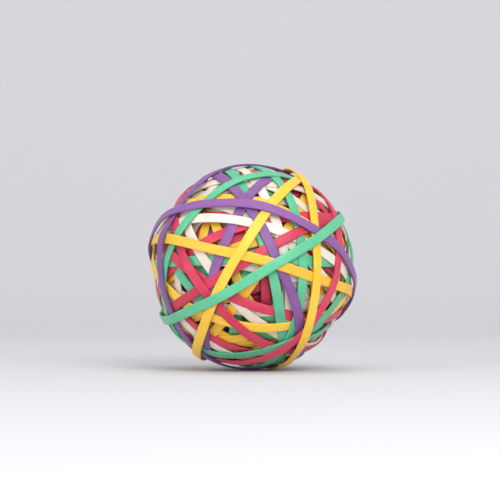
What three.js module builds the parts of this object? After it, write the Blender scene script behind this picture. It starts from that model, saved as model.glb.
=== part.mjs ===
// A rubber band ball: flat rubber bands, each one stretched right round the ball over the bands before it.
// Millimetres, +Z up, front towards -Y, origin at the middle of the ball.
import * as THREE from 'three';

// Driving dimensions.
const LAYING_DIAMETER = 65.2; // where every band starts, before the crossings press them apart
const INNER_DIAMETER = 63; // the packed bands beneath, where nothing presses them in
const BAND_WIDTH = 3.2;
const BAND_THICKNESS = 0.62;
const CLEARANCE = 0.09; // between a band and whatever lies over or under it
const STATIONS = 48; // straight stretches in one band

const BALL_RADIUS = LAYING_DIAMETER / 2;
const STATION_ANGLE = (2 * Math.PI) / STATIONS;
const STEPS_PER_STATION = 6; // places along a stretch where the bands over it are felt
const STEPS_ACROSS = 5; // and places across it
const DEEP_RADIUS = 27; // low enough for a band's width to be felt in full, as the ball's middle sees it
const EDGE_MARGIN = 0.3; // how far beyond its edges a band still holds down the ones under it
const SETTLING_ROUNDS = 200;
const TENSION = 0.05; // how far a station moves towards its neighbours in the first round, then less and less
const LIFT = 0.4; // the part of each crossing's overlap that lifts the upper band
const INNER_DETAIL = 9; // how finely the inner bands' surface is divided
const INNER_REACH = 0.14; // how far round itself a band presses the inner bands in, in radians

const RUBBER = {
  mint: { color: '#6dc9a3', roughness: 0.55, metalness: 0 },
  yellow: { color: '#f8ca3b', roughness: 0.55, metalness: 0 },
  purple: { color: '#9469a8', roughness: 0.55, metalness: 0 },
  crimson: { color: '#d4365f', roughness: 0.55, metalness: 0 },
  white: { color: '#e8dfd0', roughness: 0.6, metalness: 0 },
};

// The bands that show most, from the outermost down, placed by eye. Seen from the front, slope is how steeply
// the band's line rises to the right, and lean is how far round the ball its middle lies above the ball's own
// (below, if negative), both in degrees. shift, where there is one, is how far the band sits off the ball's
// middle, in millimetres.
const TOP_BANDS = [
  { colour: 'mint', slope: 30, lean: -5 },
  { colour: 'purple', slope: -15, lean: 35 },
  { colour: 'yellow', slope: 85, lean: -20, shift: -10 },
  { colour: 'yellow', slope: 60, lean: 10 },
  { colour: 'purple', slope: 90, lean: 60 },
  { colour: 'crimson', slope: 55, lean: -50 },
  { colour: 'yellow', slope: -15, lean: 5 },
  { colour: 'mint', slope: 25, lean: -45, shift: -5 },
  { colour: 'mint', slope: 50, lean: 50 },
  { colour: 'purple', slope: -65, lean: 15 },
  { colour: 'crimson', slope: -50, lean: -30 },
  { colour: 'crimson', slope: 30, lean: 5 },
  { colour: 'mint', slope: 90, lean: -30 },
  { colour: 'white', slope: -15, lean: 25 },
  { colour: 'yellow', slope: -10, lean: -35 },
  { colour: 'purple', slope: 70, lean: 20 },
  { colour: 'yellow', slope: -20, lean: 40 },
  { colour: 'mint', slope: -75, lean: 10 },
  { colour: 'crimson', slope: -25, lean: -20 },
  { colour: 'white', slope: -50, lean: -20 },
  { colour: 'mint', slope: 0, lean: 5 },
  { colour: 'white', slope: -80, lean: 20 },
  { colour: 'white', slope: 20, lean: 55 },
  { colour: 'crimson', slope: 20, lean: 25 },
  { colour: 'white', slope: -35, lean: 25 },
  { colour: 'white', slope: -35, lean: 55 },
  { colour: 'mint', slope: -35, lean: -35 },
  { colour: 'white', slope: -45, lean: -60 },
  { colour: 'crimson', slope: -30, lean: -55 },
  { colour: 'white', slope: 85, lean: 50 },
  { colour: 'crimson', slope: -50, lean: 70 },
  { colour: 'yellow', slope: 40, lean: -55 },
  { colour: 'yellow', slope: 55, lean: -5 },
];

// The bands under those, spread evenly round the ball.
const UNDER_BANDS = 23;
const UNDER_COLOURS = ['white', 'yellow', 'white', 'crimson', 'yellow', 'mint'];
const GOLDEN_ANGLE = Math.PI * (3 - Math.sqrt(5));

// The pole of the circle that a band runs along: the direction its plane faces.
function poleOf(slope, lean) {
  const slopeAngle = THREE.MathUtils.degToRad(slope);
  const leanAngle = THREE.MathUtils.degToRad(lean);
  return new THREE.Vector3(
    -Math.sin(slopeAngle) * Math.cos(leanAngle),
    Math.sin(leanAngle),
    Math.cos(slopeAngle) * Math.cos(leanAngle),
  );
}

// A circle round the ball. front, along and pole are a right-handed frame: angles turn from front to along.
class Circle {
  constructor(pole, shift) {
    this.pole = pole;
    this.along = new THREE.Vector3(0, 1, 0).cross(pole).normalize();
    this.front = this.along.clone().cross(pole);
    this.latitude = Math.asin(shift / BALL_RADIUS);
  }

  direction(angle) {
    return new THREE.Vector3()
      .addScaledVector(this.front, Math.cos(angle) * Math.cos(this.latitude))
      .addScaledVector(this.along, Math.sin(angle) * Math.cos(this.latitude))
      .addScaledVector(this.pole, Math.sin(this.latitude));
  }

  // The direction across the band, square to the line from the ball's middle.
  across(angle) {
    const outwards = this.direction(angle);
    return this.pole.clone().addScaledVector(outwards, -this.pole.dot(outwards)).normalize();
  }

  // The place on the circle nearest to a direction, in stations.
  turnOf(direction) {
    const angle = Math.atan2(direction.dot(this.along), direction.dot(this.front));
    return (angle / STATION_ANGLE + STATIONS) % STATIONS;
  }

  // How far off the circle a direction points, as an angle.
  offsetOf(direction) {
    return Math.asin(direction.dot(this.pole)) - this.latitude;
  }
}

// Poles spread evenly over half the sphere, each a golden angle further round than the last.
function underBands() {
  return Array.from({ length: UNDER_BANDS }, (_, i) => {
    const height = 1 - (i + 0.5) / UNDER_BANDS;
    const reach = Math.sqrt(1 - height * height);
    const turn = i * GOLDEN_ANGLE;
    const pole = new THREE.Vector3(reach * Math.cos(turn), reach * Math.sin(turn), height);
    return { colour: UNDER_COLOURS[i % UNDER_COLOURS.length], circle: new Circle(pole, 0) };
  });
}

function topBands() {
  return TOP_BANDS.map(({ colour, slope, lean, shift = 0 }) => {
    return { colour, circle: new Circle(poleOf(slope, lean), shift) };
  });
}

// How far out a band's outer face is, at a place given in stations round its circle.
function radiusAt({ radii }, turn) {
  const station = Math.floor(turn) % STATIONS;
  const [start, end] = [radii[station], radii[(station + 1) % STATIONS]];
  const past = (turn - Math.floor(turn)) * STATION_ANGLE;
  const reach = start * Math.sin(past) + end * Math.sin(STATION_ANGLE - past);
  return (start * end * Math.sin(STATION_ANGLE)) / reach;
}

// Moves a band in or out at a place, by moving the two stations beside it.
function moveAt({ radii }, turn, distance) {
  const station = Math.floor(turn) % STATIONS;
  const part = turn - Math.floor(turn);
  const share = distance / (part * part + (1 - part) * (1 - part));
  radii[station] += (1 - part) * share;
  radii[(station + 1) % STATIONS] += part * share;
}

// The directions in which a band is felt for: along its middle and out to its edges.
function feelers({ circle }) {
  const steps = STATIONS * STEPS_PER_STATION;
  return Array.from({ length: steps * STEPS_ACROSS }, (_, i) => {
    const turn = Math.floor(i / STEPS_ACROSS) / STEPS_PER_STATION;
    const offset = ((i % STEPS_ACROSS) / (STEPS_ACROSS - 1) - 0.5) * BAND_WIDTH;
    const middle = circle.direction(turn * STATION_ANGLE).multiplyScalar(DEEP_RADIUS);
    const direction = middle.addScaledVector(circle.across(turn * STATION_ANGLE), offset).normalize();
    return { turn, direction };
  });
}

// Every place where a band passes under one of the bands over it.
function contactsUnder(under, over) {
  const reach = (BAND_WIDTH / 2 + EDGE_MARGIN) / DEEP_RADIUS;
  return feelers(under).flatMap(({ turn, direction }) =>
    over
      .filter(({ circle }) => Math.abs(circle.offsetOf(direction)) < reach)
      .map((band) => ({ over: band, overTurn: band.circle.turnOf(direction), under, underTurn: turn })),
  );
}

// How far a contact's two bands are still into each other's clearance.
function overlapAt({ over, overTurn, under, underTurn }) {
  return radiusAt(under, underTurn) + BAND_THICKNESS + CLEARANCE - radiusAt(over, overTurn);
}

// Lets a band's tension even out its radius.
function tighten(band, tension) {
  const { radii } = band;
  band.radii = radii.map((radius, i) => {
    const beside = (radii[(i + 1) % STATIONS] + radii[(i + STATIONS - 1) % STATIONS]) / 2;
    return radius + tension * (beside - radius);
  });
}

// Settles the bands against each other: each crossing lifts the upper band a little and presses the lower
// one in.
function settle(bands) {
  const contacts = bands.flatMap((band, i) => contactsUnder(band, bands.slice(0, i)));
  for (let round = 0; round < SETTLING_ROUNDS; round += 1) {
    const tension = TENSION * (1 - round / SETTLING_ROUNDS);
    bands.forEach((band) => tighten(band, tension));
    for (const contact of contacts) {
      const overlap = overlapAt(contact);
      if (overlap > 0) {
        moveAt(contact.over, contact.overTurn, overlap * LIFT);
        moveAt(contact.under, contact.underTurn, -overlap * (1 - LIFT));
      }
    }
  }
  bands.forEach((band) => pressClear(contacts.filter(({ under }) => under === band)));
}

// Presses a band in until it is clear of all the bands over it.
function pressClear(contacts) {
  let worst = Infinity;
  while (worst > CLEARANCE / 20) {
    worst = 0;
    for (const contact of contacts) {
      const overlap = overlapAt(contact);
      if (overlap > 0) moveAt(contact.under, contact.underTurn, -overlap);
      worst = Math.max(worst, overlap);
    }
  }
}

// A band's solid: a ring with a four-sided section, its corners moved to the band's own.
function bandGeometry({ circle, radii }) {
  const geometry = new THREE.TorusGeometry(BALL_RADIUS, BAND_WIDTH / 2, 4, STATIONS);
  const position = geometry.getAttribute('position');
  const corners = [
    { depth: 0, side: -0.5 },
    { depth: 0, side: 0.5 },
    { depth: BAND_THICKNESS, side: 0.5 },
    { depth: BAND_THICKNESS, side: -0.5 },
  ];
  for (let row = 0; row <= 4; row += 1) {
    const { depth, side } = corners[row % 4];
    for (let column = 0; column <= STATIONS; column += 1) {
      const station = column % STATIONS;
      const angle = station * STATION_ANGLE;
      const corner = circle
        .direction(angle)
        .multiplyScalar(radii[station] - depth)
        .addScaledVector(circle.across(angle), side * BAND_WIDTH);
      position.setXYZ(row * (STATIONS + 1) + column, corner.x, corner.y, corner.z);
    }
  }
  geometry.computeVertexNormals();
  return geometry;
}

// The packed inner bands: a ball pressed in wherever a band lies over it.
function innerGeometry(bands) {
  const pressed = bands.flatMap((band) =>
    feelers(band).map(({ turn, direction }) => {
      const radius = radiusAt(band, turn) - BAND_THICKNESS - CLEARANCE;
      return { direction, radius };
    }),
  );
  const geometry = new THREE.IcosahedronGeometry(1, INNER_DETAIL);
  const position = geometry.getAttribute('position');
  const nearest = Math.cos(INNER_REACH);
  const corner = new THREE.Vector3();
  for (let i = 0; i < position.count; i += 1) {
    corner.fromBufferAttribute(position, i).normalize();
    const near = pressed.filter(({ direction }) => direction.dot(corner) > nearest);
    corner.multiplyScalar(Math.min(INNER_DIAMETER / 2, ...near.map(({ radius }) => radius)));
    position.setXYZ(i, corner.x, corner.y, corner.z);
  }
  geometry.computeVertexNormals();
  return geometry;
}

function namedMesh(name, geometry, rubber) {
  const mesh = new THREE.Mesh(geometry, new THREE.MeshStandardMaterial(rubber));
  mesh.name = name;
  return mesh;
}

function rubberBandBall() {
  const ball = new THREE.Group();
  const bands = [...topBands(), ...underBands()];
  bands.forEach((band) => {
    band.radii = Array(STATIONS).fill(BALL_RADIUS);
  });
  settle(bands);
  ball.add(namedMesh('inner_bands', innerGeometry(bands), RUBBER.white));
  bands.forEach((band, i) => {
    ball.add(namedMesh(`${band.colour}_band_${i + 1}`, bandGeometry(band), RUBBER[band.colour]));
  });
  return ball;
}

export default rubberBandBall();
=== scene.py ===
"""Looks of the rubber band ball: each band is swept as soft-cornered rubber along its loop in the frame."""

import math

import bpy
import numpy as np
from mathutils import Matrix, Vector

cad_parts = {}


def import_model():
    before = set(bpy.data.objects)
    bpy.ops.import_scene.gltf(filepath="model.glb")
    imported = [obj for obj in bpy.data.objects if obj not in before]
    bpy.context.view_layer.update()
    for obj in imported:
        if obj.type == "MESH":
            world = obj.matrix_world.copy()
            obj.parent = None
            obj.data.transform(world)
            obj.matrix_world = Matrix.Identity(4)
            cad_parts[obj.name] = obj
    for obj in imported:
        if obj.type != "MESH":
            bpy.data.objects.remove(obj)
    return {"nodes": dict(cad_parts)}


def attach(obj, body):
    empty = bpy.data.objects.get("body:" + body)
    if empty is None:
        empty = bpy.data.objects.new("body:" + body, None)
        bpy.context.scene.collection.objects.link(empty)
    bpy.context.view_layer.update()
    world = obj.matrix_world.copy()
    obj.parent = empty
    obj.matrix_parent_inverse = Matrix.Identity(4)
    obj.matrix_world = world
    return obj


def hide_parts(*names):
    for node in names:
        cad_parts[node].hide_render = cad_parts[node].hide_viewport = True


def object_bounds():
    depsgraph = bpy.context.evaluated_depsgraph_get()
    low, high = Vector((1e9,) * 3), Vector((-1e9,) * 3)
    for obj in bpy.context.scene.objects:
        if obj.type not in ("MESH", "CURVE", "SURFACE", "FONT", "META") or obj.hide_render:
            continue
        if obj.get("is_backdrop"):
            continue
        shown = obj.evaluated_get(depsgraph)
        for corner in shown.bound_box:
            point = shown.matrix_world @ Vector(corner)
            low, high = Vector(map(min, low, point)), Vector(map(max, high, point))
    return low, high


# Sizes in metres, angles in radians.
MM = 0.001
TURN = 2 * math.pi
BAND_WIDTH = 3.2 * MM
BAND_THICKNESS = 0.72 * MM
CORNER_SQUARENESS = 5.0  # 2 would make the section an ellipse
LAYER_GAP = 0.03 * MM
PRESSED_BELOW = 33.5 * MM  # wherever a band is deeper than this, it is drawn further out
PRESSED_TO = 0.55  # the part of a depth below there that is left
WANDER = 0.006  # how far a band strays off its circle
TWIST = 0.07  # how far it turns about its own line
SWELL = 0.025  # the part of its width by which it swells and narrows

OUTER_STATIONS = 240
OUTER_SECTION_POINTS = 16
INNER_STATIONS = 120
INNER_SECTION_POINTS = 8

INNER_BANDS = 170
INNER_TOP = 33.0 * MM  # where an inner band rises to with nothing over it
INNER_SINK = 0.01 * MM  # how much lower each inner band's top is than the one before it
INNER_SHIFT = 4 * MM  # the most that an inner band sits off the ball's middle
# The two steps of a sequence that spreads points evenly over a square.
SPREAD_HEIGHT_STEP = 0.7548776662
SPREAD_TURN_STEP = 0.5698402910

SEED = 11
SAMPLES = 360  # places round a loop where its radius is held
ANGLES = np.arange(SAMPLES) * TURN / SAMPLES
DIP_REACH = 5  # samples each side over which a band dips on its way under another
FEELERS_ACROSS = 7  # places across a band where the bands over it are felt
OVERHANG = 1.08  # how far out a band is felt, as a part of half its width

# Colours as display values: the rubber itself, its worn powdery surface and its deeper tone. The deeper
# tone gives random mottling and the painted shade on each band's sides and edges.
RUBBER = {
    "mint": ((0.36, 0.75, 0.57), (0.56, 0.84, 0.71), (0.22, 0.62, 0.44)),
    "yellow": ((0.97, 0.78, 0.20), (0.99, 0.87, 0.50), (0.93, 0.66, 0.06)),
    "purple": ((0.53, 0.33, 0.60), (0.67, 0.50, 0.72), (0.40, 0.21, 0.48)),
    "crimson": ((0.84, 0.19, 0.33), (0.92, 0.42, 0.52), (0.68, 0.07, 0.20)),
    "white": ((0.90, 0.86, 0.81), (0.96, 0.94, 0.91), (0.79, 0.72, 0.64)),
}
INNER_COLOUR_SHARES = {"white": 0.44, "mint": 0.17, "crimson": 0.16, "yellow": 0.14, "purple": 0.09}

# The grain of the rubber, in waves per metre: through it, or along, across and out of a band.
MOTTLE_SCALE = 260
POWDER_SCALE = 2600
STREAK_SCALE = (60, 2600, 2600)
KNIFE_SCALE = (5200, 300, 300)
POWDER_SHARE = 0.28  # how much of the worn colour the powder brings
SIDE_SHADE_SHARE = 0.35  # and how much of the deeper one is painted on the band's sides and edges as shade
SMOOTH_ROUGHNESS = 0.46
BUMP_HEIGHT = 0.06 * MM

BACKDROP_COLOUR = (0.85, 0.85, 0.865)
BACKDROP_FRONT = -3.0
BACKDROP_BACK = 0.9
BACKDROP_BEND = 0.5
BACKDROP_HEIGHT = 2.5
BACKDROP_HALF_WIDTH = 3.0
BEND_STEPS = 16
# Each soft light's place, width and power.
LIGHTS = {
    "key": ((0.3, -0.8, 0.5), 0.6, 5.6),
    "fill": ((-0.7, -0.6, 0.15), 0.8, 2.8),
    "top": ((0.0, -0.1, 0.9), 0.8, 1.8),
}
WORLD_STRENGTH = 0.68
VIEW_WIDTH = 165 * MM  # what the picture's width covers at the ball's middle
CAMERA_DISTANCE = 0.85
SENSOR_WIDTH = 36  # in millimetres, as the camera takes it
CAMERA_RISE = 5.6 * MM
CAMERA_SIDE = -0.7 * MM


def unit(vectors):
    return vectors / np.linalg.norm(vectors, axis=-1, keepdims=True)


class Loop:
    """A closed band: a circle round the ball, and how far out its outer face is all the way round."""

    def __init__(self, pole, latitude, radii, rng):
        self.pole = pole
        helper = np.array([0.0, 1.0, 0.0]) if abs(pole[1]) < 0.9 else np.array([1.0, 0.0, 0.0])
        self.along = unit(np.cross(helper, pole))
        self.front = np.cross(self.along, pole)
        self.latitude = latitude
        self.radii = radii
        self.wander = wave(rng, lowest=3, highest=7) * WANDER
        self.twist = wave(rng, lowest=4, highest=12) * TWIST
        self.swell = 1 + wave(rng, lowest=3, highest=14) * SWELL
        self.tint = rng.uniform(-1, 1)

    def directions(self, angles, wander):
        """Unit directions at angles round the circle, wander off it."""
        latitude = self.latitude + wander
        flat = np.cos(angles)[..., None] * self.front + np.sin(angles)[..., None] * self.along
        return np.cos(latitude)[..., None] * flat + np.sin(latitude)[..., None] * self.pole

    def underside(self, directions, reach):
        """How far out the inner face is in each direction, or infinity where the band doesn't pass."""
        angles = np.arctan2(directions @ self.along, directions @ self.front) % TURN
        off = np.arcsin(np.clip(directions @ self.pole, -1, 1)) - self.latitude
        off -= np.interp(angles, ANGLES, self.wander, period=TURN)
        radii = np.interp(angles, ANGLES, self.radii, period=TURN) - BAND_THICKNESS
        return np.where(np.abs(off) < reach, radii, np.inf)


def wave(rng, lowest, highest):
    """A smooth random wave round a loop, between about -1 and 1."""
    orders = np.arange(lowest, highest + 1)
    phases = rng.uniform(0, TURN, len(orders))
    sizes = rng.uniform(0.3, 1, len(orders))
    waves = sizes[:, None] * np.sin(orders[:, None] * ANGLES + phases[:, None])
    return waves.sum(0) / np.sqrt((sizes**2).sum())


def mesh_points(node):
    points = np.empty(len(node.data.vertices) * 3)
    node.data.vertices.foreach_get("co", points)
    return points.reshape(-1, 3)


def station_radius(corners, pole):
    """How far out the outer face's middle is, from the corners of one cross-section."""
    far = np.linalg.norm(corners, axis=1)
    outer = corners[far > (far.min() + far.max()) / 2]
    height = outer @ pole
    upper = height > (height.min() + height.max()) / 2
    return np.linalg.norm(outer[upper].mean(0) + outer[~upper].mean(0)) / 2


def periodic_curve(values, turns):
    """Values at equal steps round a loop, read smoothly at turns, which are measured in steps."""
    count = len(values)
    start = np.floor(turns).astype(int)
    part = turns - start
    before, here, after, beyond = (values[(start + k) % count] for k in (-1, 0, 1, 2))
    linear = after - before
    square = 2 * before - 5 * here + 4 * after - beyond
    cube = 3 * (here - after) + beyond - before
    return here + 0.5 * part * (linear + part * (square + part * cube))


def loop_from_node(node, rng):
    """The loop that a CAD band follows, read from the corners of its cross-sections."""
    corners = mesh_points(node)
    stations = len(np.unique(np.round(corners, 6), axis=0)) // 4
    pole = np.linalg.svd(corners - corners.mean(0), full_matrices=False)[2][2]
    loop = Loop(pole, np.arcsin(unit(corners) @ pole).mean(), None, rng)
    angles = np.arctan2(corners @ loop.along, corners @ loop.front)
    phase = np.angle(np.exp(1j * stations * angles).mean()) / stations
    index = np.round((angles - phase) * stations / TURN).astype(int) % stations
    radii = np.array([station_radius(corners[index == i], pole) for i in range(stations)])
    loop.radii = periodic_curve(radii, (ANGLES - phase) * stations / TURN)
    return loop


def softened(drop):
    """A drop no smaller anywhere, and smooth: the largest nearby, averaged over the same reach."""
    shifts = range(-DIP_REACH, DIP_REACH + 1)
    largest = np.max([np.roll(drop, k) for k in shifts], axis=0)
    return np.mean([np.roll(largest, k) for k in shifts], axis=0)


def lay(loop, laid):
    """Lowers a loop wherever one already laid passes over it."""
    reach = (BAND_WIDTH / 2) / loop.radii.mean()
    offsets = np.linspace(-reach, reach, FEELERS_ACROSS)
    directions = loop.directions(ANGLES[:, None], loop.wander[:, None] + offsets)
    ceiling = np.full(directions.shape[:-1], np.inf)
    for over in laid:
        ceiling = np.minimum(ceiling, over.underside(directions, reach * OVERHANG))
    drop = np.maximum(0, loop.radii - (ceiling.min(1) - LAYER_GAP))
    loop.radii = loop.radii - softened(drop)
    laid.append(loop)


def inner_loop(i, rng):
    """One of the hidden bands, its pole the next of an evenly spreading sequence."""
    height = (0.5 + i * SPREAD_HEIGHT_STEP) % 1
    turn = TURN * ((0.5 + i * SPREAD_TURN_STEP) % 1)
    across = math.sqrt(1 - height * height)
    pole = np.array([across * math.cos(turn), across * math.sin(turn), height])
    latitude = rng.uniform(-1, 1) * INNER_SHIFT / INNER_TOP
    radii = np.full(SAMPLES, INNER_TOP - i * INNER_SINK)
    return Loop(pole, latitude, radii, rng)


def section_outline(points):
    """A flat section with soft corners and slightly crowned faces, across by out, each from -0.5 to 0.5."""
    angles = (np.arange(points) + 0.5) * TURN / points
    power = 2 / CORNER_SQUARENESS
    across = np.sign(np.cos(angles)) * np.abs(np.cos(angles)) ** power / 2
    out = np.sign(np.sin(angles)) * np.abs(np.sin(angles)) ** power / 2
    return across, out


def packed(radii):
    """Draws the deep bands outwards, as the bands packed beneath them would hold them."""
    depth = np.maximum(0, PRESSED_BELOW - radii)
    return radii + (1 - PRESSED_TO) * depth


def swept_band(loop, stations, section_points):
    """Vertices of a band's skin, one row for each station, and how far along the band each row is."""

    def read(values):
        return periodic_curve(values, turns)

    turns = np.arange(stations) * SAMPLES / stations
    angles = turns * TURN / SAMPLES
    height = packed(read(loop.radii)) - BAND_THICKNESS / 2
    middle = loop.directions(angles, read(loop.wander)) * height[:, None]
    tangent = unit(np.roll(middle, -1, 0) - np.roll(middle, 1, 0))
    outwards = unit(middle - (middle * tangent).sum(1, keepdims=True) * tangent)
    sideways = np.cross(tangent, outwards)
    twist = read(loop.twist)[:, None]
    width_way = np.cos(twist) * sideways + np.sin(twist) * outwards
    depth_way = np.cos(twist) * outwards - np.sin(twist) * sideways
    across, out = section_outline(section_points)
    width = (BAND_WIDTH * read(loop.swell))[:, None, None]
    rows = middle[:, None] + width * across[:, None] * width_way[:, None]
    rows = rows + BAND_THICKNESS * out[:, None] * depth_way[:, None]
    length = np.concatenate([[0], np.cumsum(np.linalg.norm(np.diff(middle, axis=0), axis=1))])
    return rows, length


class Skin:
    """Vertices, faces and surface coordinates of one or more swept bands, gathered into one mesh."""

    def __init__(self):
        self.vertices, self.faces, self.surface, self.tints = [], [], [], []
        self.count = 0

    def add(self, loop, stations, section_points):
        def place(s, c):
            return self.count + s * section_points + c

        rows, length = swept_band(loop, stations, section_points)
        station, corner = np.meshgrid(np.arange(stations), np.arange(section_points), indexing="ij")
        next_station, next_corner = (station + 1) % stations, (corner + 1) % section_points
        quads = [place(station, corner), place(next_station, corner)]
        quads += [place(next_station, next_corner), place(station, next_corner)]
        self.faces.append(np.stack(quads, -1).reshape(-1, 4))
        self.vertices.append(rows.reshape(-1, 3))
        across, out = section_outline(section_points)
        surface = np.zeros((stations, section_points, 3))
        surface[..., 0] = length[:, None]
        surface[..., 1] = across * BAND_WIDTH
        surface[..., 2] = out * BAND_THICKNESS
        self.surface.append(surface.reshape(-1, 3))
        self.tints.append(np.full(stations * section_points, loop.tint))
        self.count += stations * section_points

    def build(self, name, material):
        mesh = bpy.data.meshes.new(name)
        mesh.from_pydata(np.concatenate(self.vertices).tolist(), [], np.concatenate(self.faces).tolist())
        surface = mesh.attributes.new("surface", "FLOAT_VECTOR", "POINT")
        surface.data.foreach_set("vector", np.concatenate(self.surface).astype(np.float32).ravel())
        tint = mesh.attributes.new("tint", "FLOAT", "POINT")
        tint.data.foreach_set("value", np.concatenate(self.tints).astype(np.float32))
        mesh.shade_smooth()
        mesh.materials.append(material)
        piece = bpy.data.objects.new(name, mesh)
        bpy.context.scene.collection.objects.link(piece)
        return piece


def linear(colour):
    """A display colour as the linear values that shaders take."""
    return [c / 12.92 if c <= 0.04045 else ((c + 0.055) / 1.055) ** 2.4 for c in colour] + [1.0]


class Nodes:
    """A material's node tree, with short ways to add to it."""

    def __init__(self, name):
        self.material = bpy.data.materials.new(name)
        self.material.use_nodes = True
        self.tree = self.material.node_tree
        self.shader = self.tree.nodes["Principled BSDF"]

    def add(self, kind, inputs=None, **settings):
        node = self.tree.nodes.new(kind)
        for key, value in settings.items():
            setattr(node, key, value)
        for key, value in (inputs or {}).items():
            self.set(node, key, value)
        return node

    def set(self, node, key, value):
        if isinstance(value, bpy.types.NodeSocket):
            self.tree.links.new(value, node.inputs[key])
        else:
            node.inputs[key].default_value = value

    def attribute(self, name, output):
        return self.add("ShaderNodeAttribute", attribute_name=name).outputs[output]

    def scaled(self, vector, scale):
        inputs = {0: vector, 1: scale}
        return self.add("ShaderNodeVectorMath", inputs, operation="MULTIPLY").outputs[0]

    def noise(self, vector, scale, detail=2.0, roughness=0.5):
        inputs = {"Vector": vector, "Scale": scale, "Detail": detail, "Roughness": roughness}
        return self.add("ShaderNodeTexNoise", inputs).outputs["Fac"]

    def ramp(self, value, low, high, to_low=0.0, to_high=1.0):
        inputs = {"Value": value, "From Min": low, "From Max": high, "To Min": to_low, "To Max": to_high}
        return self.add("ShaderNodeMapRange", inputs, interpolation_type="SMOOTHSTEP").outputs[0]

    def maths(self, operation, first, second):
        return self.add("ShaderNodeMath", {0: first, 1: second}, operation=operation).outputs[0]

    def blend(self, share, first, second):
        """A mix of two colours, whose sockets are 6 and 7 of the node, with the result in 2."""
        node = self.add("ShaderNodeMix", data_type="RGBA")
        self.set(node, "Factor", share)
        self.set(node, 6, first)
        self.set(node, 7, second)
        return node.outputs[2]


def rubber_material(colour):
    """Powdery cut rubber: mottled, streaked along its length, with duller, rougher knife-cut edges, whose
    darker colour is painted shade of the band's sides.
    """
    main, worn, deep = (linear(c) for c in RUBBER[colour])
    nodes = Nodes(colour + "_rubber")
    place = nodes.add("ShaderNodeTexCoord").outputs["Object"]
    surface = nodes.attribute("surface", "Vector")
    tint = nodes.attribute("tint", "Fac")
    parts = nodes.add("ShaderNodeSeparateXYZ", {0: surface}).outputs

    mottle = nodes.ramp(nodes.noise(place, MOTTLE_SCALE, 3), 0.35, 0.65)
    powder = nodes.ramp(nodes.noise(place, POWDER_SCALE, 4, 0.65), 0.48, 0.72)
    streaks = nodes.noise(nodes.scaled(surface, STREAK_SCALE), 1.0, 3)
    side = nodes.maths("ABSOLUTE", parts[1], 0.0)
    # the band's sides and edges: rougher cut rubber in roughness and bumps, painted shade in colour
    cut_edge_and_side_shade = nodes.ramp(side, BAND_WIDTH * 0.47, BAND_WIDTH * 0.5)
    knife = nodes.noise(nodes.scaled(surface, KNIFE_SCALE), 1.0, 2)

    shade = nodes.ramp(nodes.maths("ADD", tint, mottle), -0.9, 1.9, 0.0, 0.55)
    base = nodes.blend(shade, main, deep)
    streaked = nodes.blend(nodes.ramp(streaks, 0.5, 0.75, 0.0, 0.22), base, worn)
    powdered = nodes.blend(nodes.maths("MULTIPLY", powder, POWDER_SHARE), streaked, worn)
    # painted shade: the band's sides and edges are darkened towards the deep colour
    with_painted_side_shade = nodes.blend(nodes.maths("MULTIPLY", cut_edge_and_side_shade, SIDE_SHADE_SHARE), powdered, deep)
    nodes.set(nodes.shader, "Base Color", with_painted_side_shade)

    dull = nodes.maths("ADD", nodes.maths("MULTIPLY", powder, 0.12), nodes.maths("MULTIPLY", cut_edge_and_side_shade, 0.15))
    nodes.set(nodes.shader, "Roughness", nodes.maths("ADD", dull, SMOOTH_ROUGHNESS))
    cut = nodes.maths("MULTIPLY", nodes.maths("MULTIPLY", knife, cut_edge_and_side_shade), 0.8)
    grain = nodes.maths("ADD", nodes.maths("MULTIPLY", streaks, 0.6), nodes.maths("MULTIPLY", powder, 0.25))
    bump = {"Height": nodes.maths("ADD", grain, cut), "Strength": 0.5, "Distance": BUMP_HEIGHT}
    nodes.set(nodes.shader, "Normal", nodes.add("ShaderNodeBump", bump).outputs[0])
    nodes.shader.inputs["Subsurface Weight"].default_value = 0.12
    nodes.shader.inputs["Subsurface Radius"].default_value = (0.6, 0.4, 0.35)
    nodes.shader.inputs["Subsurface Scale"].default_value = 0.8 * MM
    nodes.shader.inputs["Sheen Weight"].default_value = 0.12
    nodes.shader.inputs["Sheen Roughness"].default_value = 0.5
    return nodes.material


def layer_number(name):
    return int(name.rsplit("_", 1)[1])


def outer_bands(frame, materials, rng):
    """Every band that has a CAD node of its own, from the outermost down. Returns their loops."""
    names = sorted((n for n in frame["nodes"] if "_band_" in n), key=layer_number)
    laid = []
    for name in names:
        lay(loop_from_node(frame["nodes"][name], rng), laid)
        colour = name.split("_")[0]
        skin = Skin()
        skin.add(laid[-1], OUTER_STATIONS, OUTER_SECTION_POINTS)
        piece = skin.build(name + "_rubber", materials[colour])
        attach(piece, "root")
        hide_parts(name)
    return laid


def inner_bands(laid, materials, rng):
    """The bands wound beneath, gathered by colour, where the CAD has one solid for them all."""
    colours = list(INNER_COLOUR_SHARES)
    shares = list(INNER_COLOUR_SHARES.values())
    skins = {colour: Skin() for colour in colours}
    for i in range(INNER_BANDS):
        lay(inner_loop(i, rng), laid)
        skins[rng.choice(colours, p=shares)].add(laid[-1], INNER_STATIONS, INNER_SECTION_POINTS)
    for colour, skin in skins.items():
        piece = skin.build(f"inner_bands_{colour}", materials[colour])
        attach(piece, "root")
        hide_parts("inner_bands")


def backdrop_material():
    nodes = Nodes("backdrop")
    place = nodes.add("ShaderNodeTexCoord").outputs["Object"]
    grain = nodes.noise(place, 900, 3)
    pale = linear(BACKDROP_COLOUR)
    softer = linear([c * 0.985 for c in BACKDROP_COLOUR])
    nodes.set(nodes.shader, "Base Color", nodes.blend(grain, pale, softer))
    nodes.shader.inputs["Roughness"].default_value = 0.8
    return nodes.material


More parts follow.
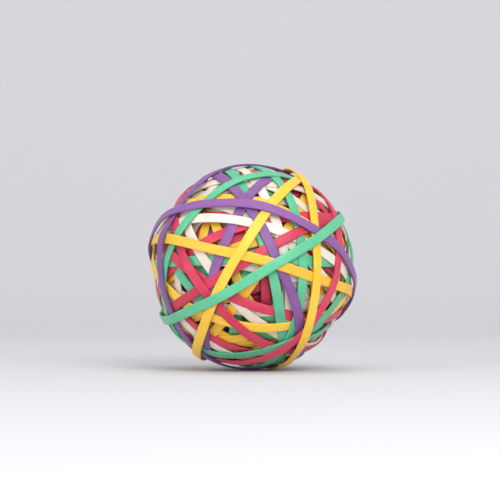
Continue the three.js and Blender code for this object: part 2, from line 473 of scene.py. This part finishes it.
def backdrop(floor_height):
    """A floor that curves up into a wall behind the ball."""
    profile = [(BACKDROP_FRONT, 0.0)]
    for i in range(BEND_STEPS + 1):
        angle = i / BEND_STEPS * math.pi / 2
        y = BACKDROP_BACK - BACKDROP_BEND + BACKDROP_BEND * math.sin(angle)
        profile.append((y, BACKDROP_BEND - BACKDROP_BEND * math.cos(angle)))
    profile.append((BACKDROP_BACK, BACKDROP_HEIGHT))
    sides = (-BACKDROP_HALF_WIDTH, BACKDROP_HALF_WIDTH)
    vertices = [(x, y, z + floor_height) for y, z in profile for x in sides]
    faces = [(2 * i, 2 * i + 1, 2 * i + 3, 2 * i + 2) for i in range(len(profile) - 1)]
    mesh = bpy.data.meshes.new("backdrop")
    mesh.from_pydata(vertices, [], faces)
    mesh.shade_smooth()
    mesh.materials.append(backdrop_material())
    floor = bpy.data.objects.new("backdrop", mesh)
    bpy.context.scene.collection.objects.link(floor)
    floor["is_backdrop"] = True


def soft_light(name, place, size, power, target):
    data = bpy.data.lights.new(name, "AREA")
    data.shape = "DISK"
    data.size = size
    data.energy = power
    light = bpy.data.objects.new(name, data)
    light.location = place
    light.rotation_euler = (target - Vector(place)).to_track_quat("-Z", "Y").to_euler()
    bpy.context.scene.collection.objects.link(light)


def lights(middle):
    for name, (place, size, power) in LIGHTS.items():
        soft_light(name, place, size, power, middle)
    world = bpy.data.worlds.new("studio")
    world.use_nodes = True
    world.node_tree.nodes["Background"].inputs["Color"].default_value = (1.0, 1.0, 1.0, 1.0)
    world.node_tree.nodes["Background"].inputs["Strength"].default_value = WORLD_STRENGTH
    bpy.context.scene.world = world


def camera(middle):
    """Level, in front of the ball and nearly at the height of its middle."""
    data = bpy.data.cameras.new("camera")
    data.sensor_width = SENSOR_WIDTH
    data.lens = data.sensor_width * CAMERA_DISTANCE / VIEW_WIDTH
    data.clip_start = 0.01
    eye = bpy.data.objects.new("camera", data)
    eye.location = middle + Vector((CAMERA_SIDE, -CAMERA_DISTANCE, CAMERA_RISE))
    eye.rotation_euler = (math.pi / 2, 0, 0)
    bpy.context.scene.collection.objects.link(eye)
    bpy.context.scene.camera = eye


def plain_list(corners):
    return [[float(value) for value in corner] for corner in corners]


def main():
    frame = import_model()
    cad_box = plain_list(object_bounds())
    rng = np.random.default_rng(SEED)
    materials = {colour: rubber_material(colour) for colour in RUBBER}
    laid = outer_bands(frame, materials, rng)
    inner_bands(laid, materials, rng)
    backdrop(cad_box[0][2])
    middle = Vector((0, 0, 0))
    lights(middle)
    camera(middle)
    bpy.context.scene.view_settings.view_transform = "Standard"
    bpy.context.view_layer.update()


main()
